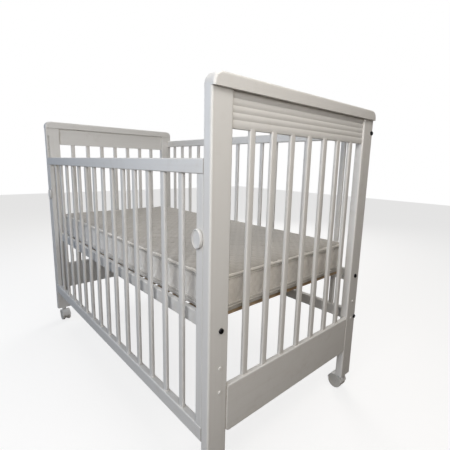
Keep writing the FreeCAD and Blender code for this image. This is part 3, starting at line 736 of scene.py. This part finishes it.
# node, body, whether the row runs along X, count, seed
slatRow("foot_slats", "root", False, 7, 11)
slatRow("head_slats", "root", False, 7, 12)
slatRow("fixed_slats", "root", True, 15, 13)
slatRow("drop_slats", "drop_side", True, 14, 14)
print("slat rows are made")


# ---- countersunk screws with a cross recess, in the laths of the base

screwValues = {
    "head": 0.0036,
    "shank": 0.0015,
    "headDeep": 0.0022,
    "recess": (0.0042, 0.0009, 0.0022),
    "turn": 1.2,            # how unevenly the recesses point, in radians
    "seed": 5,
    "apart": 0.012,         # vertices nearer than this belong to one screw
}


def screwTree():
    tree, given, result = geometryTree("screwHeads", [
        ("Geometry", "NodeSocketGeometry", None), ("Head", "NodeSocketFloat", 0.0036),
        ("Shank", "NodeSocketFloat", 0.0015), ("Deep", "NodeSocketFloat", 0.0022),
        ("Recess", "NodeSocketVector", (0.004, 0.001, 0.002)), ("Turn", "NodeSocketFloat", 1.0),
        ("Seed", "NodeSocketInt", 5), ("Material", "NodeSocketMaterial", None)])
    head = addNode(tree, "GeometryNodeMeshCone", {"Vertices": 20})
    link(tree, given["Head"], head.inputs["Radius Bottom"])
    link(tree, given["Shank"], head.inputs["Radius Top"])
    link(tree, given["Deep"], head.inputs["Depth"])
    cut = addNode(tree, "GeometryNodeMeshBoolean", operation="DIFFERENCE", solver="EXACT")
    link(tree, head.outputs["Mesh"], cut.inputs[0])
    for quarter in (0.0, math.pi / 2):
        slot = addNode(tree, "GeometryNodeMeshCube")
        link(tree, given["Recess"], slot.inputs["Size"])
        turned = addNode(tree, "GeometryNodeTransform", {"Rotation": (0, 0, quarter)})
        link(tree, slot.outputs[0], turned.inputs["Geometry"])
        link(tree, turned.outputs[0], cut.inputs[1])
    row = addNode(tree, "GeometryNodeInstanceOnPoints")
    link(tree, given["Geometry"], row.inputs["Points"])
    link(tree, cut.outputs[0], row.inputs["Instance"])
    angle = addNode(tree, "FunctionNodeRandomValue", data_type="FLOAT")
    link(tree, given["Turn"], angle.inputs[3])
    link(tree, given["Seed"], angle.inputs["Seed"])
    turn = addNode(tree, "ShaderNodeCombineXYZ", {0: math.pi})
    link(tree, angle.outputs[1], turn.inputs[2])
    rotation = addNode(tree, "FunctionNodeEulerToRotation")
    link(tree, turn.outputs[0], rotation.inputs[0])
    link(tree, rotation.outputs[0], row.inputs["Rotation"])
    return closeTree(tree, row.outputs[0], given, result)


def upperMiddles(nodeName, apart):
    # the upper middle of each separate upright piece in a node
    middles = []
    for vertex in nodes[nodeName].data.vertices:
        for group in middles:
            if (group[0].xy - vertex.co.xy).length < apart:
                group.append(vertex.co)
                break
        else:
            middles.append([vertex.co])
    places = []
    for group in middles:
        low = Vector([min(place[i] for place in group) for i in range(3)])
        high = Vector([max(place[i] for place in group) for i in range(3)])
        places.append(Vector(((low.x + high.x) / 2, (low.y + high.y) / 2, high.z)))
    return places


def buildLathScrews():
    points = bpy.data.meshes.new("screwPlaces")
    points.from_pydata(upperMiddles("base_lath_screws", screwValues["apart"]), [], [])
    screws = grow("lathScrews", screwTree(), {
        "Head": screwValues["head"], "Shank": screwValues["shank"], "Deep": screwValues["headDeep"],
        "Recess": screwValues["recess"], "Turn": screwValues["turn"], "Seed": screwValues["seed"],
        "Material": materials["zincSteel"]}, points)
    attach(screws, "root")
    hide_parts("base_lath_screws")


buildLathScrews()
print("laths are screwed down")


# ---- mattress: a filled cover, blown up by a cloth simulation, then quilted and piped

mattressValues = {
    "margin": (0.0025, 0.0015, 0.0055), # the pad starts smaller than its room, and swells
    "underside": 0.0006,    # it lies on the laths
    "corner": 0.014,
    "rim": 0.008,
    "voxel": 0.0075,
    "pressure": 4.0,
    "swell": 0.007,         # furthest that a point may move
    "quiltPitch": 0.092,    # between the diagonal seams of the top
    "quiltDepth": 0.0016,
    "seamHalf": 0.014,
    "quiltEdge": 0.05,      # the top's quilting fades out this near its edge
    "borderPitch": 0.085,   # one V of the border's zigzag seam
    "borderDepth": 0.0026,
    "borderHalf": 0.0085,
    "puff": 0.0011,         # unevenness of the filling
    "crease": 0.0008,       # small upright creases of the border
}

# the cover as cloth
coverValues = {
    "mass": 0.3,
    "tension": 18,
    "shear": 6,
    "bending": 0.8,
    "quality": 5,
    "frames": 20,
}

pipingValues = {
    "heights": (0.5485, 0.5425, 0.4745, 0.4685),    # two cords at each edge
    "radii": (0.0032, 0.0022, 0.0022, 0.0032),
    "sides": 12,
    "sink": 0.45,           # how much of its radius a cord lies in the cover
    "spacing": 0.009,
}

stitchValues = {
    "heights": (0.5375, 0.4795),
    "spacing": 0.0055,
    "thread": (0.00045, 0.00045, 0.0019),
    "lift": 0.0001,
}

mattressLow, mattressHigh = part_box("mattress")
mattressMiddle = (mattressLow + mattressHigh) / 2
mattressHalf = (mattressHigh - mattressLow) / 2


def padShell(low, high, corner):
    mesh = bmesh.new()
    bmesh.ops.create_cube(mesh, size=1.0)
    size = high - low
    middle = (low + high) / 2
    bmesh.ops.scale(mesh, vec=size, verts=mesh.verts)
    bmesh.ops.translate(mesh, vec=middle, verts=mesh.verts)
    upright = [e for e in mesh.edges if abs(e.verts[0].co.z - e.verts[1].co.z) > 0.01]
    bmesh.ops.bevel(mesh, geom=upright, offset=corner, segments=8, profile=0.5, affect="EDGES")
    rims = [e for e in mesh.edges
            if abs(e.verts[0].co.z - e.verts[1].co.z) < 1e-5 and len(e.link_faces) == 2
            and abs(e.link_faces[0].normal.z - e.link_faces[1].normal.z) > 0.5]
    bmesh.ops.bevel(mesh, geom=rims, offset=mattressValues["rim"], segments=4, profile=0.5,
                    affect="EDGES")
    data = bpy.data.meshes.new("mattressPad")
    mesh.to_mesh(data)
    mesh.free()
    pad = bpy.data.objects.new("mattressPad", data)
    scene.collection.objects.link(pad)
    return pad


def remeshed(piece, voxel):
    modifier = piece.modifiers.new("remesh", "REMESH")
    modifier.mode = "VOXEL"
    modifier.voxel_size = voxel
    bakeModifiers(piece)


def bakeModifiers(piece):
    bpy.context.view_layer.update()
    graph = bpy.context.evaluated_depsgraph_get()
    mesh = bpy.data.meshes.new_from_object(piece.evaluated_get(graph))
    piece.modifiers.clear()
    old = piece.data
    piece.data = mesh
    bpy.data.meshes.remove(old)


def swollen(piece, pressure, swell):
    # cloth blown up from inside, with no weight; no point moves further than swell
    start = [v.co.copy() for v in piece.data.vertices]
    lowest = min(place.z for place in start)
    cloth = piece.modifiers.new("cloth", "CLOTH")
    settings = cloth.settings
    settings.quality = coverValues["quality"]
    settings.mass = coverValues["mass"]
    settings.tension_stiffness = coverValues["tension"]
    settings.compression_stiffness = coverValues["tension"]
    settings.shear_stiffness = coverValues["shear"]
    settings.bending_stiffness = coverValues["bending"]
    settings.use_pressure = True
    settings.uniform_pressure_force = pressure
    settings.effector_weights.gravity = 0.0
    cloth.collision_settings.use_collision = False
    cloth.point_cache.frame_start = 1
    cloth.point_cache.frame_end = coverValues["frames"]
    for step in range(1, coverValues["frames"] + 1):
        scene.frame_set(step)
    bakeModifiers(piece)
    scene.frame_set(1)
    for vertex, old in zip(piece.data.vertices, start):
        move = vertex.co - old
        if move.length > swell:
            vertex.co = old + move.normalized() * swell
        vertex.co.z = max(vertex.co.z, lowest)


def seamDip(distance, half):
    # a soft valley: 1 on the seam, and 0 at the distance half and beyond
    t = min(abs(distance) / half, 1.0)
    return (1 - t) * (1 - t) * (1 + 2 * t)


def toLine(value, pitch):
    # how far a value is from the nearest of evenly spaced lines
    return abs((value / pitch + 0.5) % 1.0 - 0.5) * pitch


def quilted(piece):
    values = mattressValues
    mesh = piece.data
    outward = [vertex.normal.copy() for vertex in mesh.vertices]
    middle = mattressMiddle
    bottom, top = pipingValues["heights"][-1], pipingValues["heights"][0]
    for vertex, normal in zip(mesh.vertices, outward):
        x, y, z = vertex.co
        level = max(0.0, min(1.0, (z - bottom) / (top - bottom)))
        flat = max(0.0, min(1.0, (abs(normal.z) - 0.6) / 0.3))
        toEdge = min(mattressHalf.x - abs(x - middle.x), mattressHalf.y - abs(y - middle.y))
        inside = max(0.0, min(1.0, toEdge / values["quiltEdge"]))
        diagonal = min(toLine(x + y, values["quiltPitch"]), toLine(x - y, values["quiltPitch"]))
        diagonal = diagonal * math.sqrt(0.5)
        if z < bottom and normal.z < 0:
            continue
        dip = flat * inside * seamDip(diagonal, values["seamHalf"]) * values["quiltDepth"]
        run = x if abs(normal.y) > abs(normal.x) else y
        zigzag = abs((run / values["borderPitch"]) % 1.0 - 0.5) * 2 - level
        fade = max(0.0, min(1.0, 5 * level * (1 - level)))
        away = zigzag * values["borderPitch"] / 2
        dip += (1 - flat) * seamDip(away, values["borderHalf"]) * values["borderDepth"] * fade
        puff = noise.noise(Vector((x * 9, y * 9, z * 16))) * values["puff"]
        crease = noise.noise(Vector((x * 34, y * 34, z * 9))) * values["crease"] * (1 - flat)
        vertex.co = vertex.co - normal * (dip - puff - crease)


def roundedLoop(z, perCorner=10):
    # the mattress's outline at a height
    points = []
    places = ((1, 1, 0), (-1, 1, 90), (-1, -1, 180), (1, -1, 270))
    middle = mattressMiddle
    corner = mattressValues["corner"]
    halfX = mattressHalf.x - corner
    halfY = mattressHalf.y - corner
    for sx, sy, start in places:
        for i in range(perCorner + 1):
            angle = math.radians(start + 90 * i / perCorner)
            points.append(Vector((middle.x + sx * halfX + corner * math.cos(angle),
                                  middle.y + sy * halfY + corner * math.sin(angle), z)))
    return points


def evenly(points, spacing):
    # the closed loop again, with points at even distances
    loop = points + points[:1]
    result = []
    left = 0.0
    for a, b in zip(loop[:-1], loop[1:]):
        length = (b - a).length
        at = left
        while at < length:
            result.append(a.lerp(b, at / length))
            at += spacing
        left = at - length
    return result


def outwardAt(point):
    # which way the mattress's edge faces, all round its rounded outline
    corner = mattressValues["corner"]
    away = Vector((point.x - mattressMiddle.x, point.y - mattressMiddle.y, 0))
    reachX, reachY = mattressHalf.x - corner, mattressHalf.y - corner
    inner = Vector((max(-reachX, min(reachX, away.x)), max(-reachY, min(reachY, away.y)), 0))
    return (away - inner).normalized()


def laidOn(pad, loop, lift):
    # the loop, moved level onto the pad's surface
    laid = []
    for point in loop:
        out = outwardAt(point)
        hit, spot, normal, face = pad.ray_cast(point + out * 0.05, -out, distance=0.12)
        laid.append((spot if hit else point) + out * lift)
    for turn in range(3):
        laid = [(laid[i - 1] + laid[i] * 2 + laid[(i + 1) % len(laid)]) / 4 for i in range(len(laid))]
    return laid


def buildMattress():
    margin = Vector(mattressValues["margin"])
    start = mattressLow + margin
    start.z = mattressLow.z + mattressValues["underside"]
    pad = padShell(start, mattressHigh - margin, mattressValues["corner"])
    remeshed(pad, mattressValues["voxel"])
    swollen(pad, mattressValues["pressure"], mattressValues["swell"])
    divide = pad.modifiers.new("divide", "SUBSURF")
    divide.levels = divide.render_levels = 1
    bakeModifiers(pad)
    quilted(pad)
    for face in pad.data.polygons:
        face.use_smooth = True
    pad.data.materials.clear()
    pad.data.materials.append(materials["quiltedCotton"])
    bpy.context.view_layer.update()
    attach(pad, "mattress")
    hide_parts("mattress")
    return pad


mattressPad = buildMattress()
print("mattress pad has", len(mattressPad.data.polygons), "faces")


def cordTree():
    # a round cord along the curve that it is given
    tree, given, result = geometryTree("pipingCord", [
        ("Geometry", "NodeSocketGeometry", None), ("Radius", "NodeSocketFloat", 0.003),
        ("Sides", "NodeSocketInt", 12), ("Material", "NodeSocketMaterial", None)])
    ring = addNode(tree, "GeometryNodeCurvePrimitiveCircle")
    link(tree, given["Radius"], ring.inputs["Radius"])
    link(tree, given["Sides"], ring.inputs["Resolution"])
    cord = addNode(tree, "GeometryNodeCurveToMesh")
    link(tree, given["Geometry"], cord.inputs["Curve"])
    link(tree, ring.outputs[0], cord.inputs["Profile Curve"])
    return closeTree(tree, cord.outputs[0], given, result)


def stitchTree():
    # short threads, end to end along the curve that it is given
    tree, given, result = geometryTree("stitchRun", [
        ("Geometry", "NodeSocketGeometry", None), ("Spacing", "NodeSocketFloat", 0.006),
        ("Stitch", "NodeSocketVector", (0.0005, 0.0005, 0.002)),
        ("Material", "NodeSocketMaterial", None)])
    spots = addNode(tree, "GeometryNodeResampleCurve", mode="LENGTH")
    link(tree, given["Geometry"], spots.inputs["Curve"])
    link(tree, given["Spacing"], spots.inputs["Length"])
    thread = addNode(tree, "GeometryNodeMeshUVSphere", {"Segments": 6, "Rings": 4, "Radius": 1.0})
    tangent = addNode(tree, "GeometryNodeInputTangent")
    turn = addNode(tree, "FunctionNodeAlignRotationToVector", axis="Z")
    link(tree, tangent.outputs[0], turn.inputs["Vector"])
    row = addNode(tree, "GeometryNodeInstanceOnPoints")
    link(tree, spots.outputs[0], row.inputs["Points"])
    link(tree, thread.outputs[0], row.inputs["Instance"])
    link(tree, turn.outputs[0], row.inputs["Rotation"])
    link(tree, given["Stitch"], row.inputs["Scale"])
    return closeTree(tree, row.outputs[0], given, result)


def pathCurve(name, points):
    curve = bpy.data.curves.new(name, "CURVE")
    curve.dimensions = "3D"
    spline = curve.splines.new("POLY")
    spline.points.add(len(points) - 1)
    for target, point in zip(spline.points, points):
        target.co = (*point, 1)
    spline.use_cyclic_u = True
    return curve


def buildPiping(pad):
    cords, stitches = cordTree(), stitchTree()
    for number, (height, radius) in enumerate(zip(pipingValues["heights"], pipingValues["radii"])):
        loop = roundedLoop(height)
        loop = laidOn(pad, evenly(loop, pipingValues["spacing"]), radius * (1 - pipingValues["sink"]))
        cord = grow("mattressPiping%d" % number, cords, {
            "Radius": radius, "Sides": pipingValues["sides"], "Material": materials["pipingTape"]},
            pathCurve("cordPath", loop))
        smoothed(cord.data, 80)
        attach(cord, "mattress")
    for number, height in enumerate(stitchValues["heights"]):
        loop = roundedLoop(height)
        loop = laidOn(pad, evenly(loop, pipingValues["spacing"]), stitchValues["lift"])
        row = grow("mattressStitches%d" % number, stitches, {
            "Spacing": stitchValues["spacing"], "Stitch": stitchValues["thread"],
            "Material": materials["seamThread"]}, pathCurve("stitchPath", loop))
        smoothed(row.data, 80)
        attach(row, "mattress")


buildPiping(mattressPad)
print("mattress is piped and stitched")
